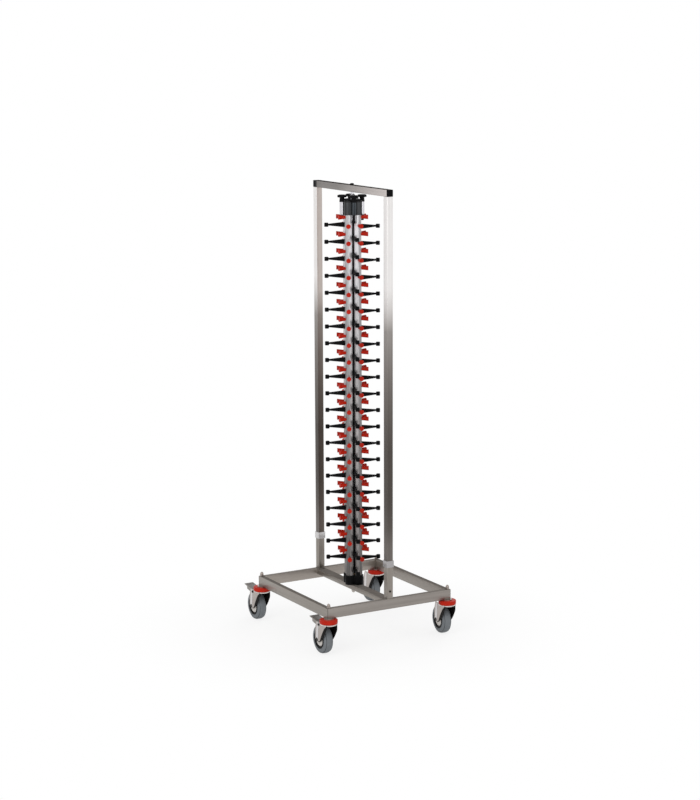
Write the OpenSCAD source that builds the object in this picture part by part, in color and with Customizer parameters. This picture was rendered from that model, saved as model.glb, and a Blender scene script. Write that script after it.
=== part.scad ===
// Mobile plate rack: a wheeled steel frame that carries a turning column.
// Four tubes make the column; each of its sides holds plates in tiers,
// between two fixed stops and one arm of a rail that a knob raises and lowers.
// +X runs along the line of the two posts, +Z is up and the floor is z = 0.

/* [Base frame] */
// Length of the base along the line of the posts
base_l = 604; // [480:1:900]
// Width of the base
base_w = 590; // [480:1:900]
// Height of the base tubes
bar_h = 42; // [30:1:60]
// Thickness of the base tubes
bar_t = 20; // [16:1:30]
// Height of the cross tube
cross_h = 20; // [18:1:24]
// How far the cross tube lies below the top of the base
cross_drop = 3; // [1:0.5:8]
// Wall of the base tubes and the posts
tube_wall = 1.5; // [1:0.1:3]
// Diameter of the bolt that holds each caster
stud_d = 10; // [8:0.5:12]

/* [Posts and top bar] */
// Side of the square post tubes
post_s = 28; // [22:1:36]
// Corner radius of the square tubes
post_r = 2.5; // [1:0.5:4]
// Height of the collars above the base
collar_z = 134; // [80:1:300]
// Height of each collar
collar_h = 28; // [15:1:50]
// How far a collar stands out from its post
collar_t = 3; // [1:0.5:6]
// Length of the left end cap of the top bar
left_cap_l = 17; // [2:1:24]
// Length of the right end cap of the top bar
right_cap_l = 3; // [2:1:24]

/* [Column] */
// Number of tiers on each side
tiers = 21; // [4:1:25]
// Height from one tier to the next
pitch = 70; // [55:1:100]
// Diameter of the column tubes
tube_d = 31; // [26:1:42]
// Wall of the column tubes
column_wall = 2; // [1:0.1:3]
// Gap between two neighbouring column tubes
groove_w = 7; // [5:0.5:12]
// Angle of the column about the pivot rod
column_turn = -19.2; // [-180:0.1:180]
// Diameter of the pivot rod
rod_d = 12; // [8:0.5:14]
// Height of the foot block
foot_h = 40; // [30:1:60]
// Height of the head block
head_h = 59; // [45:1:90]
// Wall of the head and foot blocks round each tube
head_wall = 4; // [3:0.1:6]
// Height of the lowest stop above the foot block
low_gap = 75; // [70:1:140]
// Height of the head block above the highest stop
head_gap = 9; // [9:0.5:30]
// Height from the head block to the top bar
top_gap = 34; // [30:1:70]

/* [Stops] */
// Reach of the stops from the column axis
stop_reach = 62; // [54:1:80]
// Sideways place of a stop's outer end
stop_side = 27; // [22:1:34]
// Diameter of a stop where it leaves its tube
stop_root_d = 12.6; // [8:0.2:16]
// Diameter of a stop at its outer end
stop_end_d = 19; // [14:0.5:26]

/* [Arms] */
// Reach of the arm tips from the column axis
arm_reach = 107.5; // [90:0.5:150]
// Thickness of an arm
arm_t = 6; // [4:0.5:9]
// Height of an arm at the column
arm_root_h = 21; // [10:1:24]
// Height of an arm at its tip
arm_end_h = 7; // [3:0.5:10]
// Diameter of the rubber tips
tip_d = 17; // [12:1:24]
// Height of the rubber tips
tip_h = 16; // [10:1:24]
// Least drop of the arm tips below their stops
drop_min = 28; // [26:1:30]
// Most drop of the arm tips below their stops
drop_max = 52; // [50:1:58]
// Drop of the front arms as set
drop_front = 50; // [30:1:50]
// Drop of the right arms as set
drop_right = 40; // [30:1:50]
// Drop of the back arms as set
drop_back = 46; // [30:1:50]
// Drop of the left arms as set
drop_left = 31; // [30:1:50]

/* [Knobs] */
// Diameter of a knob
knob_d = 38; // [28:1:40]
// Thickness of a knob's disc
knob_disc_h = 8; // [5:0.5:12]
// Diameter of a knob's stem
knob_stem_d = 17; // [12:0.5:20]
// Height of a knob's stem
knob_stem_h = 14; // [8:0.5:20]
// Diameter of the threaded spindles
spindle_d = 8; // [6:0.5:9]
// Diameter of the barrels that the spindles turn in
barrel_d = 14; // [12:0.5:15]
// Diameter of the sleeves that guide the barrels
sleeve_d = 20; // [18:0.5:24]

/* [Casters] */
// Diameter of the wheels
wheel_d = 120; // [80:5:160]
// Width of the tyres
tyre_w = 38; // [28:1:44]
// Distance of the axle behind the swivel axis
trail = 49; // [35:1:60]
// Angle of the rear right caster about its swivel
rear_right_turn = -5; // [-180:1:180]
// Diameter of the ring round each swivel
ring_d = 74; // [64:1:90]
// Height of the ring round each swivel
ring_h = 17; // [10:1:24]
// Gap between a wheel and the crown of its fork
crown_gap = 11; // [10:0.5:20]
// Thickness of the fork's crown
crown_t = 6; // [4:0.5:10]
// Thickness of the fork's legs
leg_t = 3; // [2:0.5:5]
// Gap between a tyre and each leg
leg_gap = 5; // [4:0.5:10]
// Diameter of the axles
axle_d = 10; // [8:0.5:12]
// Width of a brake pedal
pedal_w = 40; // [30:1:44]
// How far a pedal reaches past its wheel
pedal_past = 16; // [10:0.5:30]

/* [Hidden] */
$fn = 48;

// Clearances
fit = 0.1;
running = 0.05;
gap = 0.3;
over = 1;

// Numbers of the sides, each a quarter turn from the last
FRONT = 0;
RIGHT = FRONT + 1;
BACK = RIGHT + 1;
LEFT = BACK + 1;
drops = [drop_front, drop_right, drop_back, drop_left];

// Heights
race_t = 4;
axle_z = wheel_d / 2;
crown_z = wheel_d + crown_gap;
ring_z = crown_z + crown_t + gap;
base_z = ring_z + ring_h + race_t;
base_top = base_z + bar_h;
cross_top = base_top - cross_drop;
cross_z = cross_top - cross_h;
washer_t = 2;
foot_z = cross_top + washer_t + gap;
foot_top = foot_z + foot_h;
low_stop_z = foot_top + low_gap;
stagger = pitch / 2;
high_stop_z = low_stop_z + stagger + (tiers - 1) * pitch;
head_z = high_stop_z + head_gap;
head_top = head_z + head_h;
top_bar_z = head_top + top_gap;
frame_top = top_bar_z + post_s;

// Places of the swivels, and of the origin under the middle of the whole
swivel_x = (base_l - bar_t) / 2;
swivel_y = (base_w - bar_t) / 2;
pedal_reach = trail + wheel_d / 2 + pedal_past;
origin_x = (pedal_reach - ring_d / 2) / 2;

// Column section
tube_r = tube_d / 2;
tube_off = (tube_d + groove_w) / 2;
lobe_r = tube_r + head_wall;
sleeve_r = sleeve_d / 2;
sleeve_rho = tube_off + sqrt(pow(lobe_r + sleeve_r + fit, 2) - pow(tube_off, 2));
fill_rho = sleeve_rho - sleeve_r - fit;
bush_wall = 3;
bush_flange = 2.5;
bush_flange_r = tube_off * sqrt(2) - tube_r - gap;
socket_floor = 8;
plug_h = 5;

// Rails and lugs
rail_t = groove_w - 2 * gap;
rail_in = rod_d / 2 + over;
rail_lip = 3;
rail_out = tube_off + rail_lip;
lug_lip = 12;
lug_in = tube_off + lug_lip;
rail_foot_t = 3;
rail_foot_rho = tube_off - rail_in - rail_foot_t;
rail_foot_room = tube_off - sqrt(pow(tube_r, 2) - pow(rail_foot_rho, 2)) - 2 * gap;
rail_foot_w = 2 * min(rail_foot_room, rail_in - 3 * gap);
travel = drop_max - drop_min;
lug_h = 10;
lug_gap = 2;
lug_w = barrel_d;
rail_top_clear = head_z - lug_gap;
rail_foot_clear = bush_flange + lug_gap;
rail_l = rail_top_clear - travel - rail_foot_clear - foot_top;
barrel_l = head_top - lug_gap - rail_top_clear;
spindle_bottom = head_z + gap;

// Knob outline
knob_collar_h = 3;
knob_rim_share = 0.6;
knob_face_share = 0.8;

// Arm outline above and below the middle of its tip
arm_up_share = 0.45;
arm_flat_share = 0.14;
arm_end_up_share = 0.55;
tip_hold_share = 0.4;

// Nuts and screws
nut_af = 15;
nut_h = 8;
nut_neck = 4;
dome_r = 7.5;
rod_nut_af = 18;
rod_end = 4;
screw_d = 9;
screw_h = 2.5;
screw_z = 32;

// Caster sizes
tyre_shoulder = 10;
rim_share = 0.3;
rim_r = wheel_d * rim_share;
rim_wall = 5;
web_t = 28;
boss_r = 13;
leg_in = tyre_w / 2 + leg_gap;
leg_out = leg_in + leg_t;
leg_foot_r = 15;
race_r = 20;
ring_round = 3;
crown_rim = 1;
crown_r = ring_d / 2 - crown_rim;
stud_head_h = 4;
stud_head_d = 16;
axle_head_h = 2;
pedal_t = 2.5;
pedal_pivot_out = 6;
pedal_pivot_drop = 6;
pedal_pivot_x = -(trail - pedal_pivot_out);
pedal_pivot_z = crown_z - pedal_pivot_drop;
pedal_pin_d = 5;
pedal_rise = 4;
pedal_tip_z = ring_z + pedal_rise;
shoe_l = 18;
shoe_clear = 4;

// Outline of a fork leg: shares of the way from the axle to its top front corner
leg_back = 16;
leg_front_x = 25;
leg_front_shares = [[1, 1], [1, 0.88], [0.92, 0.78], [0.78, 0.61],
                    [0.63, 0.39], [0.48, 0.18], [0.31, -0.03], [0.14, -0.14]];
leg_back_shares = [0.66, 1];
leg_corner_share = 0.1;

// Outline of a pedal's side: shares of the way from the pivot to its tip
pedal_under_shares = [[1, 0.8], [0.73, 0.6], [0.71, -0.1], [0.43, -0.38], [0.08, -0.4], [-0.06, -0.25]];
pedal_over_shares = [[-0.06, 0.3], [0.1, 0.38], [0.7, 0.86], [1, 1]];

// Places a child in the frame of the base
module on_base() {
    translate([origin_x, 0, 0])
        children();
}

// Places a child in the turned frame of the column, on one of its sides
module on_side(side) {
    on_base()
        rotate([0, 0, column_turn + 90 * side])
            children();
}

// Places a child with its z axis on the swivel axis of one corner
module on_corner(cx, cy) {
    on_base()
        translate([cx * swivel_x, cy * swivel_y, 0])
            children();
}

// Places a child in the frame of one caster, turned about its swivel
module on_caster(cx, cy) {
    on_corner(cx, cy)
        rotate([0, 0, cx > 0 && cy > 0 ? rear_right_turn : 0])
            children();
}

// Repeats a child at the four corners
module at_corners() {
    for (cx = [-1, 1], cy = [-1, 1])
        on_corner(cx, cy)
            children();
}

// Square with round corners, centred
module round_square(side, r) {
    square([side, side - 2 * r], center = true);
    square([side - 2 * r, side], center = true);
    for (sx = [-1, 1], sy = [-1, 1])
        translate([sx * (side / 2 - r), sy * (side / 2 - r)])
            circle(r);
}

// Upright square tube
module square_tube(side, length) {
    difference() {
        linear_extrude(length)
            round_square(side, post_r);
        translate([0, 0, -over])
            linear_extrude(length + 2 * over)
                square(side - 2 * tube_wall, center = true);
    }
}

// Base tube with mitred ends, its outer face on y = 0 and its inner face at +y
module mitred_bar(length) {
    half = length / 2;
    inner = bar_t - tube_wall;
    difference() {
        translate([0, 0, base_z])
            linear_extrude(bar_h)
                polygon([[-half, 0], [half, 0], [half - bar_t, bar_t], [bar_t - half, bar_t]]);
        translate([0, 0, base_z + tube_wall])
            linear_extrude(bar_h - 2 * tube_wall)
                polygon([[tube_wall - half, tube_wall], [half - tube_wall, tube_wall],
                         [half - inner, inner], [inner - half, inner]]);
        for (sx = [-1, 1])
            translate([sx * (half - bar_t / 2), bar_t / 2, base_z - over])
                cylinder(h = bar_h + 2 * over, d = stud_d + 2 * fit);
    }
}

module side_bar(cy) {
    color("darkgray")
        on_base()
            rotate([0, 0, cy < 0 ? 0 : 180])
                translate([0, -base_w / 2, 0])
                    mitred_bar(base_l);
}

module end_bar(cx) {
    color("darkgray")
        on_base()
            rotate([0, 0, cx < 0 ? -90 : 90])
                translate([0, -base_l / 2, 0])
                    mitred_bar(base_w);
}

module cross_bar() {
    length = base_l - 2 * bar_t;
    color("darkgray")
        on_base()
            difference() {
                translate([-length / 2, -bar_h / 2, cross_z])
                    cube([length, bar_h, cross_h]);
                translate([-length / 2 - over, tube_wall - bar_h / 2, cross_z + tube_wall])
                    cube([length + 2 * over, bar_h - 2 * tube_wall, cross_h - 2 * tube_wall]);
                translate([0, 0, cross_z - over])
                    cylinder(h = cross_h + 2 * over, d = rod_d + 2 * fit);
            }
}

// Middle of each post, outer faces flush with the end bars
post_x = (base_l - post_s) / 2;
post_inner = post_s - 2 * tube_wall;
stub_h = collar_z + collar_h / 2;

// Stub of each post, with a spigot for the post to stand on
module post_stubs() {
    color("darkgray")
        on_base()
            for (sx = [-1, 1])
                translate([sx * post_x, 0, base_top]) {
                    square_tube(post_s, stub_h);
                    translate([0, 0, stub_h - collar_h])
                        linear_extrude(collar_h)
                            square(post_inner, center = true);
                    translate([0, 0, stub_h])
                        linear_extrude(collar_h)
                            square(post_inner - 2 * fit, center = true);
                }
}

module post_collars() {
    color("lightgray")
        on_base()
            for (sx = [-1, 1])
                translate([sx * post_x, 0, base_top + collar_z])
                    difference() {
                        linear_extrude(collar_h)
                            round_square(post_s + 2 * collar_t, post_r);
                        translate([0, 0, -over])
                            linear_extrude(collar_h + 2 * over)
                                square(post_s + 2 * fit, center = true);
                    }
}

module post(cx) {
    color("silver")
        on_base()
            translate([cx * post_x, 0, base_top + stub_h])
                square_tube(post_s, top_bar_z - base_top - stub_h);
}

module top_bar() {
    length = base_l - left_cap_l - right_cap_l;
    color("silver")
        on_base()
            difference() {
                translate([left_cap_l - base_l / 2, 0, top_bar_z + post_s / 2])
                    rotate([90, 0, 90])
                        square_tube(post_s, length);
                translate([0, 0, top_bar_z - over])
                    cylinder(h = post_s + 2 * over, d = rod_d + 2 * fit);
            }
}

// End cap of the top bar with its plug, standing on z = 0
module end_cap(length) {
    linear_extrude(length)
        round_square(post_s, post_r);
    translate([0, 0, length])
        linear_extrude(post_s / 2)
            square(post_inner - 2 * fit, center = true);
}

module bar_end_caps() {
    color("black")
        on_base()
            translate([0, 0, top_bar_z + post_s / 2]) {
                translate([-base_l / 2, 0, 0])
                    rotate([0, 90, 0])
                        end_cap(left_cap_l);
                translate([base_l / 2, 0, 0])
                    rotate([0, -90, 0])
                        end_cap(right_cap_l);
            }
}

module pivot_rod() {
    color("silver")
        on_base()
            translate([0, 0, cross_z - nut_h])
                cylinder(h = frame_top - cross_z + nut_h + rod_end, d = rod_d);
}

// Hexagonal nut with a domed end, standing on z = 0, with a blind bore
module dome_nut(af, bore_d, bore_h) {
    dome = af / 2 - over / 2;
    difference() {
        union() {
            cylinder(h = nut_h, r = af / sqrt(3), $fn = 6);
            cylinder(h = nut_h + nut_neck, r = dome);
            intersection() {
                translate([0, 0, nut_h + nut_neck])
                    sphere(dome);
                cylinder(h = nut_h + nut_neck + dome, r = af);
            }
        }
        translate([0, 0, -over])
            cylinder(h = bore_h + over, d = bore_d + 2 * fit);
    }
}

module top_cap_nut() {
    color("black")
        on_base()
            translate([0, 0, frame_top])
                difference() {
                    intersection() {
                        translate([0, 0, nut_h - dome_r])
                            sphere(dome_r + over);
                        cylinder(h = nut_h + over, r = dome_r);
                    }
                    translate([0, 0, -over])
                        cylinder(h = rod_end + over, d = rod_d + 2 * fit);
                }
}

module bottom_cap_nut() {
    color("silver")
        on_base()
            translate([0, 0, cross_z])
                rotate([180, 0, 0])
                    dome_nut(rod_nut_af, rod_d, nut_h);
}

module thrust_washer() {
    color("silver")
        on_base()
            translate([0, 0, cross_top])
                difference() {
                    cylinder(h = washer_t, d = bar_h);
                    translate([0, 0, -over])
                        cylinder(h = washer_t + 2 * over, d = rod_d + 2 * fit);
                }
}

module frame_screws() {
    color("dimgray")
        on_base()
            for (sx = [-1, 1])
                translate([sx * base_l / 2, 0, base_top + screw_z])
                    rotate([0, 90 * sx, 0])
                        cylinder(h = screw_h, d1 = screw_d, d2 = screw_d - screw_h);
}

module caster_studs() {
    color("silver")
        at_corners() {
            translate([0, 0, crown_z - stud_head_h - gap])
                cylinder(h = stud_head_h, d = stud_head_d);
            translate([0, 0, crown_z - over])
                cylinder(h = base_top + nut_h - crown_z + over, d = stud_d);
        }
}

module acorn_nuts() {
    color("silver")
        at_corners()
            translate([0, 0, base_top])
                dome_nut(nut_af, stud_d, nut_h);
}

module swivel_races() {
    color("silver")
        at_corners()
            translate([0, 0, ring_z])
                difference() {
                    cylinder(h = ring_h + race_t, r = race_r);
                    translate([0, 0, -over])
                        cylinder(h = ring_h + race_t + 2 * over, d = stud_d + 2 * fit);
                }
}

// Ring with round outer edges
module swivel_rings() {
    flat = ring_d / 2 - race_r - fit - ring_round;
    color("red")
        at_corners()
            translate([0, 0, ring_z])
                rotate_extrude() {
                    translate([race_r + fit, 0])
                        square([flat, ring_h]);
                    translate([race_r + fit, ring_round])
                        square([flat + ring_round, ring_h - 2 * ring_round]);
                    for (z = [ring_round, ring_h - ring_round])
                        translate([ring_d / 2 - ring_round, z])
                            circle(ring_round);
                }
}

// Section of the head and foot: a lobe round each tube, joined in the middle
module lobed_section() {
    for (a = [45 : 90 : 315])
        rotate(a)
            translate([tube_off * sqrt(2), 0])
                circle(lobe_r);
    square([2 * fill_rho, 2 * tube_off], center = true);
    square([2 * tube_off, 2 * fill_rho], center = true);
}

// Repeats a child on the axis of each column tube
module at_tubes() {
    for (sx = [-1, 1], sy = [-1, 1])
        translate([sx * tube_off, sy * tube_off, 0])
            children();
}

bush_r = rod_d / 2 + bush_wall;
tube_foot_z = foot_z + socket_floor;

module column_tubes() {
    color("gainsboro")
        on_side(FRONT)
            at_tubes()
                translate([0, 0, tube_foot_z])
                    difference() {
                        cylinder(h = head_top - tube_foot_z, r = tube_r);
                        translate([0, 0, -over])
                            cylinder(h = head_top - tube_foot_z + 2 * over, r = tube_r - column_wall);
                    }
}

module column_head() {
    color("dimgray")
        on_side(FRONT)
            translate([0, 0, head_z])
                difference() {
                    linear_extrude(head_h)
                        lobed_section();
                    at_tubes()
                        translate([0, 0, -over])
                            cylinder(h = head_h + 2 * over, r = tube_r + fit);
                    translate([0, 0, -over])
                        cylinder(h = head_h + 2 * over, r = bush_r + fit);
                }
}

module column_foot() {
    color("black")
        on_side(FRONT)
            translate([0, 0, foot_z])
                difference() {
                    linear_extrude(foot_h)
                        lobed_section();
                    at_tubes()
                        translate([0, 0, socket_floor])
                            cylinder(h = foot_h, r = tube_r + fit);
                    translate([0, 0, -over])
                        cylinder(h = foot_h + 2 * over, r = bush_r + fit);
                }
}

module tube_plugs() {
    plug_r = tube_r - column_wall - fit;
    color("black")
        on_side(FRONT)
            at_tubes() {
                translate([0, 0, head_top - plug_h])
                    cylinder(h = plug_h, r = plug_r);
                translate([0, 0, head_top])
                    cylinder(h = plug_h, r1 = tube_r, r2 = tube_r - column_wall * 2);
            }
}

module spindle_sleeves() {
    color("silver")
        for (side = [FRONT : LEFT])
            on_side(side)
                translate([sleeve_rho, 0, head_z])
                    difference() {
                        cylinder(h = head_h, r = sleeve_r);
                        translate([0, 0, -over])
                            cylinder(h = head_h + 2 * over, d = barrel_d + 2 * running);
                    }
}

// Flanged bush, its flange on top
module bush(length) {
    difference() {
        union() {
            cylinder(h = length, r = bush_r);
            translate([0, 0, length])
                cylinder(h = bush_flange, r = bush_flange_r);
        }
        translate([0, 0, -over])
            cylinder(h = length + bush_flange + 2 * over, d = rod_d + 2 * running);
    }
}

module pivot_bushes() {
    color("gold")
        on_side(FRONT) {
            translate([0, 0, head_z])
                bush(head_h);
            translate([0, 0, foot_z])
                bush(foot_h);
        }
}

// Stop level of a tier; the front and back sides lie half a pitch lower
function stop_z(side, tier) = high_stop_z - tier * pitch - (side % 2 == 0 ? stagger : 0);

// Stop: a cone that points away from the middle of its tube
stop_l = norm([stop_reach - tube_off, stop_side - tube_off]);
stop_angle = atan2(stop_side - tube_off, stop_reach - tube_off);
stop_start_share = 0.7;
stop_start = tube_r * stop_start_share;
stop_slope = (stop_end_d - stop_root_d) / (stop_l - tube_r) / 2;

module stops(side) {
    color("red")
        on_side(side)
            for (tier = [0 : tiers - 1], sy = [-1, 1])
                translate([tube_off, sy * tube_off, stop_z(side, tier)])
                    difference() {
                        rotate([0, 90, sy * stop_angle])
                            translate([0, 0, stop_start])
                                cylinder(h = stop_l - stop_start,
                                         r1 = stop_root_d / 2 - stop_slope * (tube_r - stop_start),
                                         r2 = stop_end_d / 2);
                        translate([0, 0, -stop_end_d])
                            cylinder(h = 2 * stop_end_d, r = tube_r);
                    }
}

// Height of an arm tip's middle
function arm_z(side, tier) = stop_z(side, tier) - drops[side];

// Height of a rail's top as set
function rail_top(side) = rail_top_clear - (drops[side] - drop_min);

// One arm, its thickness centred on y = 0 and z = 0 at the middle of its tip
module arm() {
    hold = tip_d * tip_hold_share;
    up = arm_root_h * arm_up_share;
    flat = (arm_reach - lug_in) * arm_flat_share;
    end_up = arm_end_h * arm_end_up_share;
    root = rail_out + fit;
    outer = lug_in + fit;
    translate([0, arm_t / 2, 0])
        rotate([90, 0, 0])
            linear_extrude(arm_t)
                polygon([[root, up - arm_root_h],
                         [outer, up - arm_root_h],
                         [arm_reach - tip_d / 2, end_up - arm_end_h],
                         [arm_reach - tip_d / 2 + hold, end_up - arm_end_h],
                         [arm_reach - tip_d / 2 + hold, end_up],
                         [arm_reach - tip_d / 2, end_up],
                         [outer + flat, up],
                         [root, up]]);
}

module arm_rail(side) {
    color("black")
        on_side(side) {
            translate([0, 0, rail_top(side) - rail_l]) {
                translate([rail_in, -rail_t / 2, 0])
                    cube([rail_out - rail_in, rail_t, rail_l]);
                translate([rail_in, -rail_t / 2, rail_l - lug_h])
                    cube([lug_in - rail_in, rail_t, lug_h]);
                translate([rail_in, -rail_foot_w / 2, 0])
                    cube([rail_foot_t, rail_foot_w, rail_l]);
            }
            for (tier = [0 : tiers - 1])
                translate([0, 0, arm_z(side, tier)])
                    arm();
            translate([sleeve_rho, 0, rail_top(side) - lug_h])
                difference() {
                    union() {
                        translate([lug_in - sleeve_rho, -lug_w / 2, 0])
                            cube([sleeve_rho - lug_in, lug_w, lug_h]);
                        cylinder(h = lug_h + barrel_l, d = barrel_d);
                    }
                    translate([0, 0, -over])
                        cylinder(h = lug_h + barrel_l + 2 * over, d = spindle_d + 2 * running);
                }
        }
}

module arm_tips(side) {
    slot_w = arm_t + 2 * fit;
    slot_h = arm_end_h + 2 * fit;
    slot_l = tip_d * tip_hold_share + fit + over;
    color("black")
        on_side(side)
            for (tier = [0 : tiers - 1])
                translate([arm_reach, 0, arm_z(side, tier)])
                    difference() {
                        translate([0, 0, -tip_h / 2])
                            cylinder(h = tip_h, d = tip_d);
                        translate([-tip_d / 2 - over, -slot_w / 2,
                                   arm_end_h * arm_end_up_share - arm_end_h - fit])
                            cube([slot_l, slot_w, slot_h]);
                    }
}

// Knob with its threaded spindle
module knob(side) {
    rim_h = knob_disc_h * knob_rim_share;
    color("black")
        on_side(side)
            translate([sleeve_rho, 0, head_top + gap]) {
                cylinder(h = knob_collar_h, d = sleeve_d);
                cylinder(h = knob_stem_h, d = knob_stem_d);
                translate([0, 0, knob_stem_h])
                    cylinder(h = rim_h, d = knob_d);
                translate([0, 0, knob_stem_h + rim_h])
                    cylinder(h = knob_disc_h - rim_h, d1 = knob_d, d2 = knob_d * knob_face_share);
                translate([0, 0, spindle_bottom - head_top])
                    cylinder(h = head_top - spindle_bottom, d = spindle_d);
            }
}

// Outline point of a leg's front edge, from a share across and a share up
function leg_point(s) = [-trail + s[0] * (leg_front_x + trail),
                         axle_z + s[1] * (crown_z + crown_t - axle_z)];

// Side view of a fork leg, its back corner cut off above the pedal's pivot
module leg_outline() {
    back_x = -(trail + leg_back);
    cut_x = back_x + leg_corner_share * (leg_front_x - back_x);
    top_z = crown_z + crown_t;
    polygon(concat([for (s = leg_front_shares) leg_point(s)],
                   [[-trail, axle_z], [back_x, axle_z],
                    [back_x, axle_z + leg_back_shares[0] * (top_z - axle_z)],
                    [cut_x, axle_z + leg_back_shares[1] * (top_z - axle_z)]]));
    translate([-trail, axle_z])
        circle(leg_foot_r);
}

module fork(cx, cy) {
    color("lightgray")
        on_caster(cx, cy)
            difference() {
                union() {
                    translate([0, 0, crown_z])
                        cylinder(h = crown_t, r = crown_r);
                    for (sy = [-1, 1])
                        translate([0, sy < 0 ? -leg_in : leg_out, 0])
                            rotate([90, 0, 0])
                                linear_extrude(leg_t)
                                    leg_outline();
                }
                translate([0, 0, crown_z - over])
                    cylinder(h = crown_t + 2 * over, d = stud_d + 2 * running);
                translate([-trail, leg_out + over, axle_z])
                    rotate([90, 0, 0])
                        cylinder(h = 2 * (leg_out + over), d = axle_d + 2 * fit);
                translate([pedal_pivot_x, leg_out + over, pedal_pivot_z])
                    rotate([90, 0, 0])
                        cylinder(h = 2 * (leg_out + over), d = pedal_pin_d + 2 * running);
            }
}

module axle(cx, cy) {
    color("silver")
        on_caster(cx, cy)
            translate([-trail, 0, axle_z])
                rotate([90, 0, 0]) {
                    translate([0, 0, -leg_out])
                        cylinder(h = 2 * leg_out, d = axle_d);
                    translate([0, 0, leg_out])
                        cylinder(h = axle_head_h, r = nut_af / sqrt(3), $fn = 6);
                    translate([0, 0, -leg_out - axle_head_h])
                        cylinder(h = axle_head_h, r = nut_af / sqrt(3), $fn = 6);
                }
}

// Tyre with round shoulders
module tyre(cx, cy) {
    r = wheel_d / 2;
    crown_w = tyre_w - 2 * tyre_shoulder;
    color("slategray")
        on_caster(cx, cy)
            translate([-trail, 0, axle_z])
                rotate([90, 0, 0])
                    rotate_extrude() {
                        translate([rim_r, -tyre_w / 2])
                            square([r - tyre_shoulder - rim_r, tyre_w]);
                        translate([rim_r, -crown_w / 2])
                            square([r - rim_r, crown_w]);
                        for (s = [-1, 1])
                            translate([r - tyre_shoulder, s * crown_w / 2])
                                circle(tyre_shoulder);
                    }
}

// Wheel centre: rim, web and boss
module hub(cx, cy) {
    boss_w = 2 * leg_in - 2 * over;
    color("lightgray")
        on_caster(cx, cy)
            translate([-trail, 0, axle_z])
                rotate([90, 0, 0])
                    rotate_extrude() {
                        translate([rim_r - rim_wall, -tyre_w / 2])
                            square([rim_wall, tyre_w]);
                        translate([boss_r - over, -web_t / 2])
                            square([rim_r - rim_wall - boss_r + 2 * over, web_t]);
                        translate([axle_d / 2 + running, -boss_w / 2])
                            square([boss_r - axle_d / 2 - running, boss_w]);
                    }
}

// Outline point of a pedal, from a share of the reach and a share of the rise
function pedal_point(s) = [pedal_pivot_x - s[0] * (pedal_reach + pedal_pivot_x),
                           pedal_pivot_z + s[1] * (pedal_tip_z - pedal_pivot_z)];

// Brake pedal: a pressed channel with two sides, its shoe and its pivot pin
module pedal(cx, cy) {
    over_line = [for (s = pedal_over_shares) pedal_point(s)];
    under_line = [for (s = pedal_under_shares) pedal_point(s)];
    top_line = [for (i = [1 : 3]) over_line[i]];
    plate = concat(top_line, [for (i = [2 : -1 : 0]) top_line[i] - [0, pedal_t]]);
    shoe_x = pedal_pivot_x - shoe_clear - shoe_l;
    shoe_top = over_line[1].y - pedal_t / 2;
    color("silver")
        on_caster(cx, cy) {
            translate([0, pedal_w / 2, 0])
                rotate([90, 0, 0])
                    linear_extrude(pedal_w)
                        polygon(plate);
            for (y = [pedal_w / 2, pedal_t - pedal_w / 2])
                translate([0, y, 0])
                    rotate([90, 0, 0])
                        linear_extrude(pedal_t)
                            polygon(concat(over_line, under_line));
            translate([shoe_x, -pedal_w / 2, pedal_pivot_z - pedal_pin_d / 2])
                cube([shoe_l, pedal_w, shoe_top - pedal_pivot_z + pedal_pin_d / 2]);
            translate([pedal_pivot_x, leg_out, pedal_pivot_z])
                rotate([90, 0, 0])
                    cylinder(h = 2 * leg_out, d = pedal_pin_d);
        }
}

side_bar(-1);  // side_bar_front
side_bar(1);  // side_bar_rear
end_bar(-1);  // end_bar_left
end_bar(1);  // end_bar_right
cross_bar();
post_stubs();
post_collars();
post(-1);  // post_left
post(1);  // post_right
top_bar();
bar_end_caps();
pivot_rod();
top_cap_nut();
bottom_cap_nut();
thrust_washer();
frame_screws();
caster_studs();
acorn_nuts();
swivel_races();
swivel_rings();
column_tubes();
column_head();
column_foot();
tube_plugs();
spindle_sleeves();
pivot_bushes();
stops(FRONT);  // stops_front
stops(RIGHT);  // stops_right
stops(BACK);  // stops_back
stops(LEFT);  // stops_left
arm_rail(FRONT);  // arm_rail_front
arm_rail(RIGHT);  // arm_rail_right
arm_rail(BACK);  // arm_rail_back
arm_rail(LEFT);  // arm_rail_left
arm_tips(FRONT);  // arm_tips_front
arm_tips(RIGHT);  // arm_tips_right
arm_tips(BACK);  // arm_tips_back
arm_tips(LEFT);  // arm_tips_left
knob(FRONT);  // knob_front
knob(RIGHT);  // knob_right
knob(BACK);  // knob_back
knob(LEFT);  // knob_left
fork(-1, -1);  // fork_front_left
fork(1, -1);  // fork_front_right
fork(1, 1);  // fork_rear_right
fork(-1, 1);  // fork_rear_left
axle(-1, -1);  // axle_front_left
axle(1, -1);  // axle_front_right
axle(1, 1);  // axle_rear_right
axle(-1, 1);  // axle_rear_left
tyre(-1, -1);  // tyre_front_left
tyre(1, -1);  // tyre_front_right
tyre(1, 1);  // tyre_rear_right
tyre(-1, 1);  // tyre_rear_left
hub(-1, -1);  // hub_front_left
hub(1, -1);  // hub_front_right
hub(1, 1);  // hub_rear_right
hub(-1, 1);  // hub_rear_left
pedal(-1, -1);  // pedal_front_left
pedal(1, -1);  // pedal_front_right
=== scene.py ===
import math

import bmesh
import bpy
from mathutils import Matrix, Vector


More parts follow.
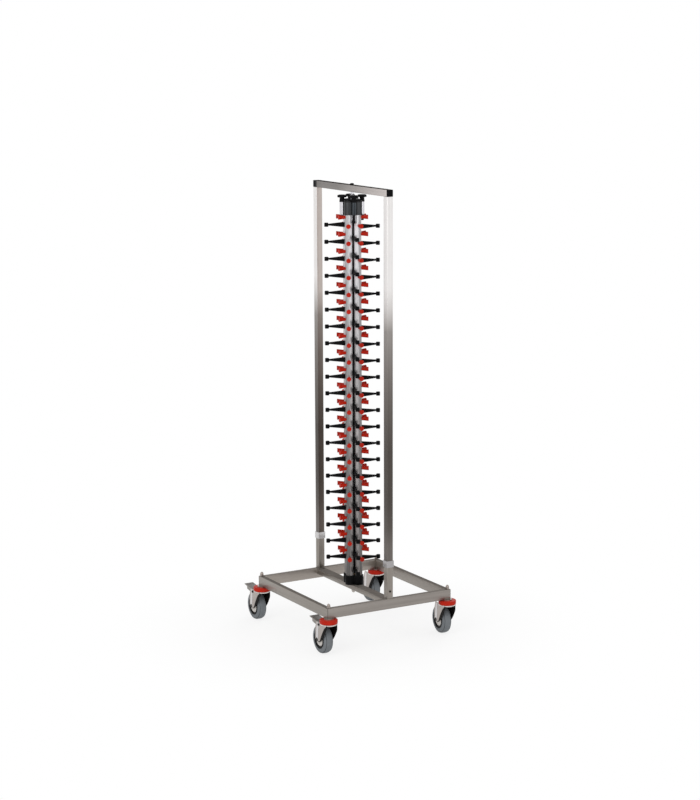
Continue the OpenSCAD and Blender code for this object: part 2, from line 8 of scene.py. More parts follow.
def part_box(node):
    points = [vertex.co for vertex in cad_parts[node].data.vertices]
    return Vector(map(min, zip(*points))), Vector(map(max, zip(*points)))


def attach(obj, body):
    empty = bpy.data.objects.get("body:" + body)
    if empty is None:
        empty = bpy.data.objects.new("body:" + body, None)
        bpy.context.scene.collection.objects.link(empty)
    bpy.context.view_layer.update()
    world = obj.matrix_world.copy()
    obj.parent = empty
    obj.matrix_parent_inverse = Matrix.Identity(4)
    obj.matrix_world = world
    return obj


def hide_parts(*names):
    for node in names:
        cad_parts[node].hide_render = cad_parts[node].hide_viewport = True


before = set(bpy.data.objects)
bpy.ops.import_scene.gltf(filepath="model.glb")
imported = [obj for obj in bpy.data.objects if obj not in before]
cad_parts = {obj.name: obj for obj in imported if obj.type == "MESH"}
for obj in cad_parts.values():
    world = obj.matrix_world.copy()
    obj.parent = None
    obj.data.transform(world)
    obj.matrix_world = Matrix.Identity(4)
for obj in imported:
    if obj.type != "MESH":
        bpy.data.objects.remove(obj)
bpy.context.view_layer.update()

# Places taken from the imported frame
SIDES = ("front", "right", "back", "left")
CORNERS = {"front_left": (-1, -1), "front_right": (1, -1), "rear_right": (1, 1), "rear_left": (-1, 1)}
BRAKED = ("front_left", "front_right")
COLUMN_TURN = math.radians(-19.2)


def middle(name):
    """The middle of a CAD node's box."""
    low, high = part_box(name)
    return (low + high) / 2


def size(name):
    """The lengths of a CAD node's box."""
    low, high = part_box(name)
    return high - low


AXIS = middle("pivot_rod")
AXIS.z = 0
HEAD_LOW, HEAD_HIGH = (corner.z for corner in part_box("column_head"))
BASE_LOW, BASE_HIGH = (corner.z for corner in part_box("side_bar_front"))
TOP_BAR_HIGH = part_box("top_bar")[1].z
RING_LOW, RING_HIGH = (corner.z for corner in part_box("swivel_rings"))
AXLE_Z = middle("tyre_front_left").z
BAR_T = size("side_bar_front").y
HALF_X = size("side_bar_front").x / 2
HALF_Y = size("end_bar_left").y / 2

# The gap between parts that turn on each other
RUN_GAP = 0.0003

# Sizes of the column, its arms and its knobs
TUBE_R = 0.0155
TUBE_OFF = 0.019
BLOCK_EDGE = 0.0007
RAIL_EDGE = 0.0005
SLEEVE_R = 0.010
STOP_REACH = 0.062
STOP_SIDE = 0.027
STOP_ROOT_R = 0.0063
STOP_END_R = 0.0095
ARM_REACH = 0.1075
TIP_R = 0.0085
TIP_H = 0.016
TIERS = 21
RIM_H = 0.007
LUG_H = 0.010
LUG_START = 0.0305
LUG_NARROW = 0.67
KNOB_DISC_T = 0.0105
KNOB_STEM_R = 0.0095
KNOB_GRIPS = 24

# Sizes of the casters
CROWN_R = 0.036
CROWN_T = 0.006
CROWN_TOP = RING_LOW - RUN_GAP
CROWN_LOW = CROWN_TOP - CROWN_T
LEG_IN = 0.024
LEG_T = 0.003
LEG_OUT = LEG_IN + LEG_T
LEG_SKIN = 0.0015
# Thickness and place of the black sheets of painted shade inside the legs, and how far forward they reach
SHADE_SHEET_T = 0.0016
SHADE_SHEET_PLACE = 0.00065
SHADE_SHEET_FRONT = 0.0265
LEG_FOOT_R = 0.0112
LEG_SKIN_FOOT_R = 0.0105
LEG_BACK = 0.016
LEG_FRONT = 0.025
WHEEL_R = size("tyre_front_left").z / 2
TYRE_HALF_W = size("tyre_front_left").y / 2
RIM_R = WHEEL_R * 0.6
SHOULDER = 0.0135
LINE_AT = math.radians(50)
BOLT_R = 0.0084
BOLT_H = 0.0027
PEDAL_EDGE = 0.0007

# Sizes of the frame's details
TUBE_EDGE = 0.0016
CROSS_EDGE = 0.0014
STUB_EDGE = 0.0006
COLLAR_EDGE = 0.0009
CAP_EDGE = 0.0008
BEAD_R = 0.0015
BEAD_RIPPLE = 0.18
BEAD_WAVE = 0.0013

# Angles that part sharp edges from smooth ones
SHARP = math.radians(35)
ROUNDED_FROM = math.radians(40)
PLATE_ROUNDED_FROM = math.radians(50)


# Meshes

def side_matrix(side):
    """The turned frame of the column, with +X out of one of its sides."""
    return Matrix.Translation(AXIS) @ Matrix.Rotation(COLUMN_TURN + SIDES.index(side) * math.pi / 2, 4, "Z")


def corner_matrix(corner):
    """The frame of a caster's swivel, with its origin on the floor."""
    across, along = CORNERS[corner]
    return Matrix.Translation((AXIS.x + across * (HALF_X - BAR_T / 2), AXIS.y + along * (HALF_Y - BAR_T / 2), 0))


def caster_matrix(corner):
    """The frame of a caster as it is turned about its swivel, with its wheel at -X."""
    at = corner_matrix(corner)
    behind = at.translation - middle("tyre_" + corner)
    return at @ Matrix.Rotation(math.atan2(behind.y, behind.x), 4, "Z")


TRAIL = (corner_matrix("front_left").translation - middle("tyre_front_left")).x


def lathe(profile, steps=48, matrix=Matrix(), closed=False):
    """A turned shape: points of radius and height, spun about Z."""
    bm = bmesh.new()
    ring = [bm.verts.new((r, 0, z)) for r, z in profile]
    edges = [bm.edges.new(pair) for pair in zip(ring, ring[1:])]
    if closed:
        edges.append(bm.edges.new((ring[-1], ring[0])))
    bmesh.ops.spin(bm, geom=ring + edges, cent=(0, 0, 0), axis=(0, 0, 1), angle=math.tau,
                   steps=steps, use_merge=True, use_duplicate=False)
    bmesh.ops.remove_doubles(bm, verts=bm.verts, dist=1e-6)
    bmesh.ops.recalc_face_normals(bm, faces=bm.faces)
    bmesh.ops.transform(bm, matrix=matrix, verts=bm.verts)
    return bm


def plate(outline, thickness, matrix=Matrix(), round_edge=0.0, segments=2):
    """A flat plate: an outline in X and Z, its thickness centred on Y."""
    bm = bmesh.new()
    face = bm.faces.new([bm.verts.new((x, -thickness / 2, z)) for x, z in outline])
    grown = bmesh.ops.extrude_face_region(bm, geom=[face])
    moved = [v for v in grown["geom"] if isinstance(v, bmesh.types.BMVert)]
    bmesh.ops.translate(bm, vec=(0, thickness, 0), verts=moved)
    bmesh.ops.recalc_face_normals(bm, faces=bm.faces)
    if round_edge:
        edges = [e for e in bm.edges if e.calc_face_angle(0) > PLATE_ROUNDED_FROM]
        round_edges(bm, edges, round_edge, segments)
    bmesh.ops.transform(bm, matrix=matrix, verts=bm.verts)
    return bm


def round_edges(bm, edges, width, segments=2):
    """Rounds some edges of a mesh."""
    bmesh.ops.bevel(bm, geom=edges, offset=width, offset_type="OFFSET", affect="EDGES", segments=segments,
                    profile=0.5, material=-1, clamp_overlap=True)


def rod(start, end, radius, steps=24, ripple=0.0):
    """A round bar between two points. A ripple swells it in waves, as a weld bead."""
    start, end = Vector(start), Vector(end)
    length = (end - start).length
    profile = [(0, 0), (radius, 0), (radius, length), (0, length)]
    if ripple:
        count = max(2, round(length / BEAD_WAVE * 2))
        profile = [(0, 0)] + [(radius * (1 + ripple * (i % 2)), length * i / count) for i in range(count + 1)]
        profile.append((0, length))
    turn = (end - start).to_track_quat("Z", "Y").to_matrix().to_4x4()
    return lathe(profile, steps, Matrix.Translation(start) @ turn)


def join(parts, matrix=Matrix()):
    """One mesh from several, which it uses up."""
    whole = bmesh.new()
    scratch = bpy.data.meshes.new("scratch")
    for part in parts:
        part.to_mesh(scratch)
        part.free()
        whole.from_mesh(scratch)
    bpy.data.meshes.remove(scratch)
    bmesh.ops.transform(whole, matrix=matrix, verts=whole.verts)
    return whole


def repeat(part, matrices):
    """Copies of one mesh at each matrix, joined. It uses up the mesh."""
    whole = bmesh.new()
    scratch = bpy.data.meshes.new("scratch")
    part.to_mesh(scratch)
    part.free()
    for matrix in matrices:
        placed = scratch.copy()
        placed.transform(matrix)
        whole.from_mesh(placed)
        bpy.data.meshes.remove(placed)
    bpy.data.meshes.remove(scratch)
    return whole


def copy_of(name, round_edge=0.0, segments=2):
    """The merged mesh of a CAD node, with its sharp edges rounded."""
    bm = bmesh.new()
    bm.from_mesh(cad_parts[name].data)
    bmesh.ops.remove_doubles(bm, verts=bm.verts, dist=1e-6)
    bmesh.ops.dissolve_limit(bm, angle_limit=math.radians(1), verts=bm.verts, edges=bm.edges)
    if round_edge:
        edges = [e for e in bm.edges if e.is_manifold and e.calc_face_angle(0) > ROUNDED_FROM]
        round_edges(bm, edges, round_edge, segments)
    return bm


def new_object(name, data):
    """An object of a mesh, a lamp or a camera, put into the scene."""
    made = bpy.data.objects.new(name, data)
    bpy.context.scene.collection.objects.link(made)
    return made


def piece(name, bm, body, material, replaced=()):
    """Finishes a mesh as a piece of the object that rides on one body."""
    bmesh.ops.recalc_face_normals(bm, faces=bm.faces)
    mesh = bpy.data.meshes.new(name)
    bm.to_mesh(mesh)
    bm.free()
    mesh.shade_smooth()
    mesh.set_sharp_from_angle(angle=SHARP)
    mesh.materials.append(material)
    made = new_object(name, mesh)
    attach(made, body)
    if replaced:
        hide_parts(*replaced)
    return made


# Shader nodes

def wire(tree, socket, value):
    """Feeds a socket from another one, or gives it a fixed value."""
    if isinstance(value, bpy.types.NodeSocket):
        tree.links.new(value, socket)
    else:
        socket.default_value = value


def add(tree, kind, inputs=None, **settings):
    """A new node with its settings, and with its inputs by name or by place."""
    made = tree.nodes.new(kind)
    for key, value in settings.items():
        setattr(made, key, value)
    for key, value in (inputs or {}).items():
        wire(tree, made.inputs[key], value)
    return made


def number_math(tree, operation, *values):
    """The result of one operation on numbers."""
    return add(tree, "ShaderNodeMath", dict(enumerate(values)), operation=operation).outputs[0]


def vector_math(tree, operation, *values):
    """The result of one operation on vectors."""
    made = add(tree, "ShaderNodeVectorMath", dict(enumerate(values)), operation=operation)
    return made.outputs["Value" if operation in ("LENGTH", "DOT_PRODUCT") else "Vector"]


def scaled(tree, colour, factor):
    """A colour made lighter or darker by a factor."""
    return add(tree, "ShaderNodeVectorMath", {0: colour, "Scale": factor}, operation="SCALE").outputs[0]


def covered(tree, surface, mask, colour):
    """A surface with another colour where the mask is."""
    mix = add(tree, "ShaderNodeMix", {"Factor": mask, "A": surface, "B": (*colour, 1)}, data_type="RGBA")
    return mix.outputs["Result"]


def mapped(tree, value, low, high, to_low, to_high):
    """A value moved from one range to another."""
    ranges = (value, low, high, to_low, to_high)
    return add(tree, "ShaderNodeMapRange", dict(enumerate(ranges))).outputs[0]


def place(tree):
    """Where the shaded point is, in the object's own coordinates."""
    return add(tree, "ShaderNodeTexCoord").outputs["Object"]


def part_of(tree, vector, axis):
    """One of the three numbers of a vector."""
    return add(tree, "ShaderNodeSeparateXYZ", {0: vector}).outputs[axis]


def noise(tree, where, scale, detail=2):
    """Soft noise about one half."""
    return add(tree, "ShaderNodeTexNoise", {"Vector": where, "Scale": scale, "Detail": detail}).outputs["Fac"]


def ramp_along(tree, axis, stops):
    """Colours at places along one axis, each shading into the next."""
    low, high = stops[0][0], stops[-1][0]
    share = mapped(tree, part_of(tree, place(tree), axis), low, high, 0, 1)
    ramp = add(tree, "ShaderNodeValToRGB", {"Fac": share})
    marks = ramp.color_ramp.elements
    marks[0].color, marks[1].color = (*stops[0][1], 1), (*stops[-1][1], 1)
    for at, colour in stops[1:-1]:
        marks.new((at - low) / (high - low)).color = (*colour, 1)
    return ramp.outputs["Color"]


def distance_from_axis(tree):
    """How far the shaded point is from the column's axis."""
    level = vector_math(tree, "MULTIPLY", vector_math(tree, "SUBTRACT", place(tree), AXIS), (1, 1, 0))
    return vector_math(tree, "LENGTH", level)


# Shader node groups

def new_group(name, output, **defaults):
    """A node group with one output. A default of three numbers makes a vector input."""
    tree = bpy.data.node_groups.new(name, "ShaderNodeTree")
    for label, value in defaults.items():
        kind = "NodeSocketVector" if isinstance(value, tuple) else "NodeSocketFloat"
        tree.interface.new_socket(name=label, in_out="INPUT", socket_type=kind).default_value = value
    tree.interface.new_socket(name=output, in_out="OUTPUT", socket_type="NodeSocketFloat")
    return tree, tree.nodes.new("NodeGroupInput").outputs, tree.nodes.new("NodeGroupOutput").inputs[output]


def about_one(tree, swing, amount):
    """A factor that swings about one by an amount."""
    return number_math(tree, "ADD", number_math(tree, "MULTIPLY", swing, amount), 1)


def build_mottle_group():
    """Soft blotches, as a factor about one."""
    tree, given, result = new_group("mottle", "Factor", Scale=20, Amount=0.1)
    swing = number_math(tree, "SUBTRACT", noise(tree, place(tree), given["Scale"], 5), 0.5)
    wire(tree, result, about_one(tree, swing, given["Amount"]))
    return tree


def build_grain_group():
    """Fine scratches drawn out along one direction by the stretch."""
    tree, given, result = new_group("drawn_grain", "Height", Stretch=(1, 1, 1))
    wire(tree, result, noise(tree, vector_math(tree, "MULTIPLY", place(tree), given["Stretch"]), 1, 3))
    return tree


def build_band_group():
    """Long soft bands along a drawn or extruded length, as a factor about one."""
    tree, given, result = new_group("drawn_bands", "Factor", Stretch=(1, 1, 1), Amount=0.2)
    streaks = noise(tree, vector_math(tree, "MULTIPLY", place(tree), given["Stretch"]), 0.12, 1)
    wire(tree, result, about_one(tree, mapped(tree, streaks, 0.3, 0.7, -1, 1), given["Amount"]))
    return tree


def build_wear_group():
    """A mask of the edges, broken up by noise."""
    tree, _, result = new_group("edge_wear", "Mask")
    softened = add(tree, "ShaderNodeBevel", {"Radius": WEAR_R}, samples=4).outputs["Normal"]
    likeness = vector_math(tree, "DOT_PRODUCT", softened, add(tree, "ShaderNodeNewGeometry").outputs["Normal"])
    edge = mapped(tree, likeness, 1.0, 0.85, 0, 1)
    broken = mapped(tree, noise(tree, place(tree), 90), 0.35, 0.6, 0.2, 1)
    wire(tree, result, number_math(tree, "MULTIPLY", edge, broken))
    return tree


def build_top_shade_group():
    """A mask of the faces that look up, broken up by noise, for painted shade that makes them darker and dull."""
    tree, _, result = new_group("top_shade", "Mask")
    normal = add(tree, "ShaderNodeNewGeometry").outputs["Normal"]
    upward = mapped(tree, part_of(tree, normal, "Z"), 0.3, 0.9, 0, 1)
    patches = mapped(tree, noise(tree, place(tree), 35), 0.3, 0.6, 0.75, 1)
    wire(tree, result, number_math(tree, "MULTIPLY", upward, patches))
    return tree


# How far the edge wear reaches
WEAR_R = 0.0012

MOTTLE = build_mottle_group()
GRAIN = build_grain_group()
WEAR = build_wear_group()
TOP_SHADE = build_top_shade_group()
BANDS = build_band_group()

# Directions of a drawn grain
ALONG_X = (18, 900, 900)
ALONG_Y = (900, 18, 900)
ALONG_Z = (900, 900, 18)
EVEN = (700, 700, 700)

# Depths of a grain
POLISHED = 0.000005
FINE = 0.00001
PRESSED = 0.00002
MOULDED = 0.00003
CAST = 0.00004
LINED = 0.00005
RUBBERY = 0.00012


def use(tree, group, output, **inputs):
    """What a shared node group gives for these inputs."""
    return add(tree, "ShaderNodeGroup", inputs, node_tree=group).outputs[output]


def finish(name, colour, roughness, metallic=0.0, grain=EVEN, depth=PRESSED, mottle=(25, 0.1), rough_range=0.08,
           wear=None, specular=0.5, top_shade=None, bands=0.0, outward=None):
    """A material with its own colour, grain, blotches, edge wear and painted top shade.

    The colour is one tone, or an axis and the tones at places along it. The blotches have a scale
    and an amount. Wear and the top shade are tones; the top shade is painted shade that darkens and dulls
    the upward faces. Outward is a range of distances from the column's axis, and the factors of painted
    light and shade that it is given by.
    """
    material = bpy.data.materials.new(name)
    material.use_nodes = True
    tree = material.node_tree
    tone = ramp_along(tree, *colour) if isinstance(colour[0], str) else colour
    surface = scaled(tree, tone, use(tree, MOTTLE, "Factor", Scale=mottle[0], Amount=mottle[1]))
    if bands:
        surface = scaled(tree, surface, use(tree, BANDS, "Factor", Stretch=grain, Amount=bands))
    if outward:
        surface = scaled(tree, surface, mapped(tree, distance_from_axis(tree), *outward))
    if wear:
        surface = covered(tree, surface, use(tree, WEAR, "Mask"), wear)
    # Painted shade on the upward faces: a darker tone, and no metal there
    if top_shade:
        top_mask = use(tree, TOP_SHADE, "Mask")
        surface = covered(tree, surface, top_mask, top_shade)
        metallic = mapped(tree, top_mask, 0, 0.7, metallic, 0)
    height = use(tree, GRAIN, "Height", Stretch=grain)
    bump = add(tree, "ShaderNodeBump", {"Strength": 1, "Distance": depth, "Height": height})
    looks = {"Base Color": surface, "Metallic": metallic, "Specular IOR Level": specular,
             "Roughness": mapped(tree, height, 0.3, 0.7, roughness - rough_range, roughness + rough_range),
             "Normal": bump.outputs["Normal"]}
    for label, value in looks.items():
        wire(tree, tree.nodes["Principled BSDF"].inputs[label], value)
    return material


# Finishes of the rack

def steel(name, colour, grain, top_shade, along=None):
    """Brushed steel in one tone, or in tones along an axis, with painted shade on its dull upper faces."""
    return finish(name, along or colour, 0.38, 1.0, grain, FINE, mottle=(9, 0.10), rough_range=0.06,
                  wear=tuple(c * 1.15 for c in colour), specular=0, top_shade=top_shade, bands=0.06)


def black(name, roughness, worn):
    """Black plastic, paint or rubber whose edges are worn to a dark grey."""
    return finish(name, (0.0045, 0.0045, 0.005), roughness, depth=MOULDED, mottle=(30, 0.3), wear=(worn,) * 3,
                  specular=0.05)


def shades(tone, levels):
    """One tone at several levels of painted light and shade, each with its height, warmer as it darkens."""
    warmth = (0.97, 1.02, 1.06)
    return [(z, tuple(channel * level ** power for channel, power in zip(tone, warmth))) for z, level in levels]


# The base tubes' grey, and darker tones for the upper faces of the base, the stubs and the posts: painted shade
BASE_GREY = (0.295, 0.27, 0.245)
BASE_TOP_SHADE = (0.155, 0.14, 0.127)
CROSSWISE_TOP_SHADE = (0.215, 0.195, 0.178)
base_x = steel("base_tube_lengthwise", BASE_GREY, ALONG_X, BASE_TOP_SHADE)
# The crosswise tubes are lighter at the left end than at the right: painted light
base_y = steel("base_tube_crosswise", BASE_GREY, ALONG_Y, CROSSWISE_TOP_SHADE,
               ("X", [(AXIS.x - HALF_X, (0.35, 0.315, 0.285)), (AXIS.x + HALF_X, (0.28, 0.255, 0.235))]))
stub_steel = steel("stub_steel", (0.27, 0.245, 0.22), ALONG_Z, BASE_TOP_SHADE)

# Heights up the posts, each with its share of the pale tone: painted shade that darkens the posts below their tops
POST_PALE = (0.80, 0.78, 0.77)
POST_SHADES = [(0.42, 0.19), (0.50, 0.13), (0.60, 0.10), (0.82, 0.10), (0.92, 0.13), (1.02, 0.17), (1.16, 0.25),
               (1.31, 0.37), (1.36, 0.60), (1.41, 0.80), (1.48, 1.0)]
post_steel = steel("post_steel", POST_PALE, ALONG_Z, BASE_TOP_SHADE, ("Z", shades(POST_PALE, POST_SHADES)))
# A darker copy of the post tones for the left post's face towards the column: painted shade
POST_INNER = (0.56, 0.50, 0.465)
INNER_SHADES = [(z, min(1, level * 1.25)) for z, level in POST_SHADES]
post_inner = steel("post_inner_steel", POST_INNER, ALONG_Z, BASE_TOP_SHADE, ("Z", shades(POST_INNER, INNER_SHADES)))

# Tones along the top bar: black for about a centimetre at its left end, then grey that brightens towards the right
# end as painted light; its upper face is near black as painted shade
BAR_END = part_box("top_bar")[0].x
BAR_GREY, BAR_BLACK = (0.25, 0.235, 0.225), (0.01, 0.01, 0.01)
bar_steel = steel("top_bar_steel", BAR_GREY, ALONG_X, (0.02, 0.018, 0.016),
                  ("X", [(BAR_END, BAR_BLACK), (BAR_END + 0.0115, BAR_BLACK),
                         (BAR_END + 0.0135, (0.20, 0.185, 0.175)), (AXIS.x - 0.22, BAR_GREY),
                         (AXIS.x - 0.1, BAR_GREY), (AXIS.x + HALF_X, (0.62, 0.57, 0.55))]))
# The collars are paler at the left post than at the right one: painted light
collar_steel = finish("collar_steel", ("X", [(AXIS.x - HALF_X, (0.58, 0.57, 0.57)),
                                             (AXIS.x + HALF_X, (0.38, 0.37, 0.375))]), 0.3, 1.0, depth=FINE)

# Heights up the column, each with its share of the pale tone: painted shade that darkens it downwards. Then factors
# by distance from its axis: painted light by the groove and painted shade on the outer flanks
COLUMN_PALE = (0.74, 0.74, 0.76)
COLUMN_SHADES = [(0.25, 0.30), (0.56, 0.34), (0.70, 0.42), (0.90, 0.52), (1.15, 0.65), (1.35, 0.82), (1.6, 1.0)]
COLUMN_EDGE = (0.038, 0.0412, 1.12, 0.6)
column_steel = finish("column_aluminium", ("Z", shades(COLUMN_PALE, COLUMN_SHADES)), 0.32, 0.45, ALONG_Z, FINE,
                      mottle=(12, 0.08), rough_range=0.05, bands=0.16, outward=COLUMN_EDGE)

zinc = finish("zinc_plate", (0.42, 0.39, 0.36), 0.28, 1.0, depth=FINE, mottle=(60, 0.15))
nut_steel = finish("nut_steel", (0.30, 0.26, 0.235), 0.32, 1.0, depth=FINE, mottle=(90, 0.3), rough_range=0.06,
                   wear=(0.5, 0.46, 0.43))
sleeve_steel = finish("polished_sleeve", (0.64, 0.63, 0.66), 0.14, 1.0, ALONG_Z, POLISHED, mottle=(30, 0.05),
                      rough_range=0.03)
# The front sleeve: the same polished sleeve, darkened as painted shade, with strong streaks
sleeve_dark = finish("dark_sleeve", (0.07, 0.08, 0.09), 0.25, 1.0, ALONG_Z, POLISHED, mottle=(30, 0.1),
                     rough_range=0.05, bands=0.9)
fork_steel = finish("pressed_fork_steel", (0.42, 0.38, 0.355), 0.34, 1.0, mottle=(40, 0.15), wear=(0.6, 0.57, 0.54))
# The rib and the foot discs are a paler copy of the legs' steel: painted light on the raised band
rib_steel = finish("fork_rib_steel", (0.62, 0.60, 0.60), 0.3, 1.0, mottle=(50, 0.15))
crown_steel = finish("crown_steel", (0.66, 0.62, 0.59), 0.3, 1.0, depth=FINE, mottle=(60, 0.15))
# Its upward faces are darker and dull
pedal_steel = finish("pedal_steel", (0.25, 0.23, 0.21), 0.36, 1.0, mottle=(60, 0.3), wear=(0.42, 0.40, 0.37),
                     top_shade=(0.13, 0.12, 0.11))
# Black for sheets put where the inside of the fork is in shade: painted shade
fork_shade = finish("fork_inside", (0.006, 0.005, 0.0045), 0.5, mottle=(50, 0.3), specular=0.08)
dark_bolt = finish("dark_bolt", (0.03, 0.026, 0.022), 0.4, 1.0, mottle=(80, 0.3), wear=(0.14, 0.13, 0.12))
seam_metal = finish("seam_metal", (0.10, 0.09, 0.08), 0.5, 1.0, mottle=(80, 0.3))
bronze = finish("bronze_bush", (0.55, 0.36, 0.16), 0.35, 1.0)
black_plastic = black("black_plastic", 0.42, 0.022)
HEAD_GREY, HEAD_RIM = (0.048, 0.051, 0.054), (0.006, 0.006, 0.007)
head_plastic = finish("head_plastic", ("Z", [(HEAD_LOW, HEAD_GREY), (HEAD_HIGH - RIM_H - 0.0005, HEAD_GREY),
                                             (HEAD_HIGH - RIM_H + 0.0005, HEAD_RIM), (HEAD_HIGH, HEAD_RIM)]),
                      0.42, 0.0, ALONG_Z, MOULDED, mottle=(20, 0.3), wear=(0.08, 0.09, 0.095), specular=0.2,
                      bands=0.6)
arm_paint = black("arm_paint", 0.40, 0.016)
tip_rubber = black("tip_rubber", 0.7, 0.014)
red_plastic = finish("red_plastic", (0.46, 0.014, 0.003), 0.40, depth=MOULDED, mottle=(35, 0.3), rough_range=0.06,
                     wear=(0.58, 0.03, 0.012), specular=0.12)
red_ring = finish("red_ring", (0.47, 0.018, 0.006), 0.42, depth=MOULDED, mottle=(45, 0.35), rough_range=0.06,
                  wear=(0.55, 0.02, 0.012), specular=0.1)
tyre_rubber = finish("tyre_rubber", (0.165, 0.178, 0.19), 0.68, depth=RUBBERY, mottle=(60, 0.25),
                     wear=(0.19, 0.205, 0.218), specular=0.3)
groove_dark = finish("tyre_groove", (0.03, 0.033, 0.035), 0.7, depth=LINED, mottle=(60, 0.2), specular=0.1)
hub_pale = finish("hub_pale", (0.60, 0.57, 0.54), 0.42, 0.5, depth=MOULDED, mottle=(50, 0.12))
hub_black = finish("hub_black", (0.005, 0.005, 0.005), 0.5, depth=CAST, mottle=(50, 0.3), specular=0.06)


# Base frame and posts

def build_frame():
    """The tubes of the base, the posts and the top bar, their edges rounded."""
    for name in ("side_bar_front", "side_bar_rear"):
        piece(name + "_tube", copy_of(name, TUBE_EDGE, 3), "frame", base_x, [name])
    for name in ("end_bar_left", "end_bar_right"):
        piece(name + "_tube", copy_of(name, TUBE_EDGE, 3), "frame", base_y, [name])
    piece("cross_tube", copy_of("cross_bar", CROSS_EDGE, 3), "frame", base_x, ["cross_bar"])
    piece("post_stub_tubes", copy_of("post_stubs", STUB_EDGE), "frame", stub_steel,
          ["post_stubs"])
    piece("post_collar_sleeves", copy_of("post_collars", COLLAR_EDGE, 3), "frame", collar_steel,
          ["post_collars"])
    for name in ("post_left", "post_right"):
        made = piece(name + "_tube", copy_of(name), "frame", post_steel, [name])
        if name == "post_left":
            # Its face towards the column is darker: painted shade
            made.data.materials.append(post_inner)
            for face in made.data.polygons:
                face.material_index = int(face.normal.x > 0.9)
    piece("top_bar_tube", copy_of("top_bar"), "frame", bar_steel, ["top_bar"])
    piece("bar_end_plugs", copy_of("bar_end_caps", CAP_EDGE), "frame", black_plastic,
          ["bar_end_caps"])


def bead(start, end):
    """A rippled weld bead between two points."""
    return rod(start, end, BEAD_R, 10, BEAD_RIPPLE)


def build_seams():
    """Dark mitre seams at the corners of the base, and weld beads where tubes meet."""
    seams, beads = [], []
    inset, top = 0.0008, BASE_HIGH - 0.0003
    upright_r, mitre_r = 0.0011, 0.0007
    for across, along in CORNERS.values():
        x, y = AXIS.x + across * (HALF_X - inset), AXIS.y + along * (HALF_Y - inset)
        seams.append(rod((x, y, BASE_LOW + 0.002), (x, y, BASE_HIGH - 0.001), upright_r, 12))
        inner = Vector((x - across * BAR_T, y - along * BAR_T, top))
        seams.append(rod((x, y, top), inner, mitre_r, 8))
    piece("mitre_seams", join(seams), "frame", seam_metal)
    low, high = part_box("post_stubs")
    half = (high.y - low.y) / 2
    for x in (low.x + half, high.x - half):
        corners = [(x + a * half, AXIS.y + b * half, BASE_HIGH) for a, b in ((-1, -1), (1, -1), (1, 1), (-1, 1))]
        for i in range(4):
            beads.append(bead(corners[i], corners[(i + 1) % 4]))
    low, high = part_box("cross_bar")
    for x in (low.x, high.x):
        for y in (low.y, high.y):
            beads.append(bead((x, y, low.z + 0.001), (x, y, high.z)))
        beads.append(bead((x, low.y, high.z), (x, high.y, high.z)))
    piece("weld_beads", join(beads), "frame", stub_steel)


def dome_nut(across_flats, height, total):
    """A hexagon nut that ends in a pointed dome, standing on z = 0."""
    corner_r = across_flats / math.sqrt(3)
    bm = bmesh.new()
    bmesh.ops.create_cone(bm, cap_ends=True, segments=6, radius1=corner_r, radius2=corner_r, depth=height)
    bmesh.ops.translate(bm, vec=(0, 0, height / 2), verts=bm.verts)
    chamfer = 0.0006
    round_edges(bm, list(bm.edges), chamfer)
    dome_r = across_flats / 2 - 0.0005
    foot = height + 0.002
    dome = [(dome_r, height - chamfer), (dome_r, foot)]
    dome += [(dome_r * math.cos(math.radians(a)), foot + (total - foot) * math.sin(math.radians(a)) ** 1.15)
             for a in range(10, 91, 10)]
    return join([bm, lathe(dome, 32)])


def build_fasteners():
    """The pointed nuts, the cap of the pivot rod and the screws of the post stubs."""
    lift = Matrix.Translation((0, 0, BASE_HIGH))
    acorn = dome_nut(across_flats=0.015, height=0.008, total=0.019)
    piece("acorn_nut_set", repeat(acorn, [corner_matrix(corner) @ lift for corner in CORNERS]), "frame",
          nut_steel, ["acorn_nuts"])
    under = Matrix.Translation((AXIS.x, AXIS.y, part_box("cross_bar")[0].z)) @ Matrix.Rotation(math.pi, 4, "X")
    cross_nut = dome_nut(across_flats=0.018, height=0.008, total=0.0205)
    piece("cross_tube_nut", repeat(cross_nut, [under]), "frame", zinc, ["bottom_cap_nut"])
    cap_r, cap_h = 0.008, 0.0068
    cap = lathe([(cap_r, 0), (cap_r, cap_h / 2), (cap_r * 0.93, 0.0052), (cap_r * 0.7, 0.0064), (0, cap_h)], 40,
                Matrix.Translation((AXIS.x, AXIS.y, TOP_BAR_HIGH)))
    piece("rod_cap", cap, "frame", black_plastic, ["top_cap_nut"])
    screw_r, screw_h, drive_r, drive_z = 0.0045, 0.0025, 0.0018, 0.0013
    head = lathe([(screw_r, 0), (screw_r, 0.0012), (0.0036, 0.0023), (0.0022, screw_h), (drive_r, drive_z),
                  (0, drive_z)], 32)
    low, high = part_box("frame_screws")
    z = (low.z + high.z) / 2
    turned = [Matrix.Translation((low.x + screw_h, AXIS.y, z)) @ Matrix.Rotation(-math.pi / 2, 4, "Y"),
              Matrix.Translation((high.x - screw_h, AXIS.y, z)) @ Matrix.Rotation(math.pi / 2, 4, "Y")]
    piece("stub_screw_heads", repeat(head, turned), "frame", dark_bolt, ["frame_screws"])


# Column

